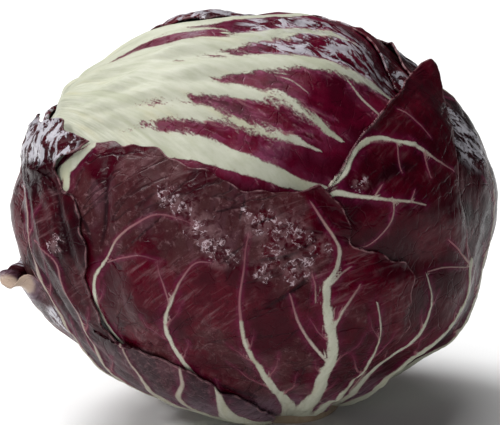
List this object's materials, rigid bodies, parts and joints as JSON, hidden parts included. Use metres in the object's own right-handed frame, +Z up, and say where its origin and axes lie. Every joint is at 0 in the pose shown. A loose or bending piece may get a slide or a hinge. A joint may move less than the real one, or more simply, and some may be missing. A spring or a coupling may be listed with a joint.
{
  "type": "radicchio head",
  "caption": "Round head of red radicchio: wine-red leaves with white ribs wrapped over one another, standing on its cut stump.",
  "frame": {"origin": "centre of the stump's flat cut face, on the surface that the head stands on", "axes": "+Z up, +X to the right in the view from the front, -Y towards the viewer"},
  "size_m": [0.1354, 0.1234, 0.1094],
  "materials": {
    "outer_leaf": "waxy, dark wine red with ivory ribs, glossy in patches",
    "pale_leaf": "smooth, ivory with fanned wine-red blades",
    "heart_leaf": "satin, wine red with ivory ribs",
    "cut_stem": "matt, fibrous, browned a little where it was cut"
  },
  "bodies": {
    "root": {"leaf_left": "outer_leaf", "leaf_curl": "outer_leaf", "leaf_front": "outer_leaf", "leaf_back_left": "outer_leaf", "leaf_right": "outer_leaf", "leaf_back_right": "outer_leaf", "leaf_back_top": "outer_leaf", "leaf_top": "pale_leaf", "heart": "heart_leaf", "stump": "cut_stem"}
  },
  "joints": []
}
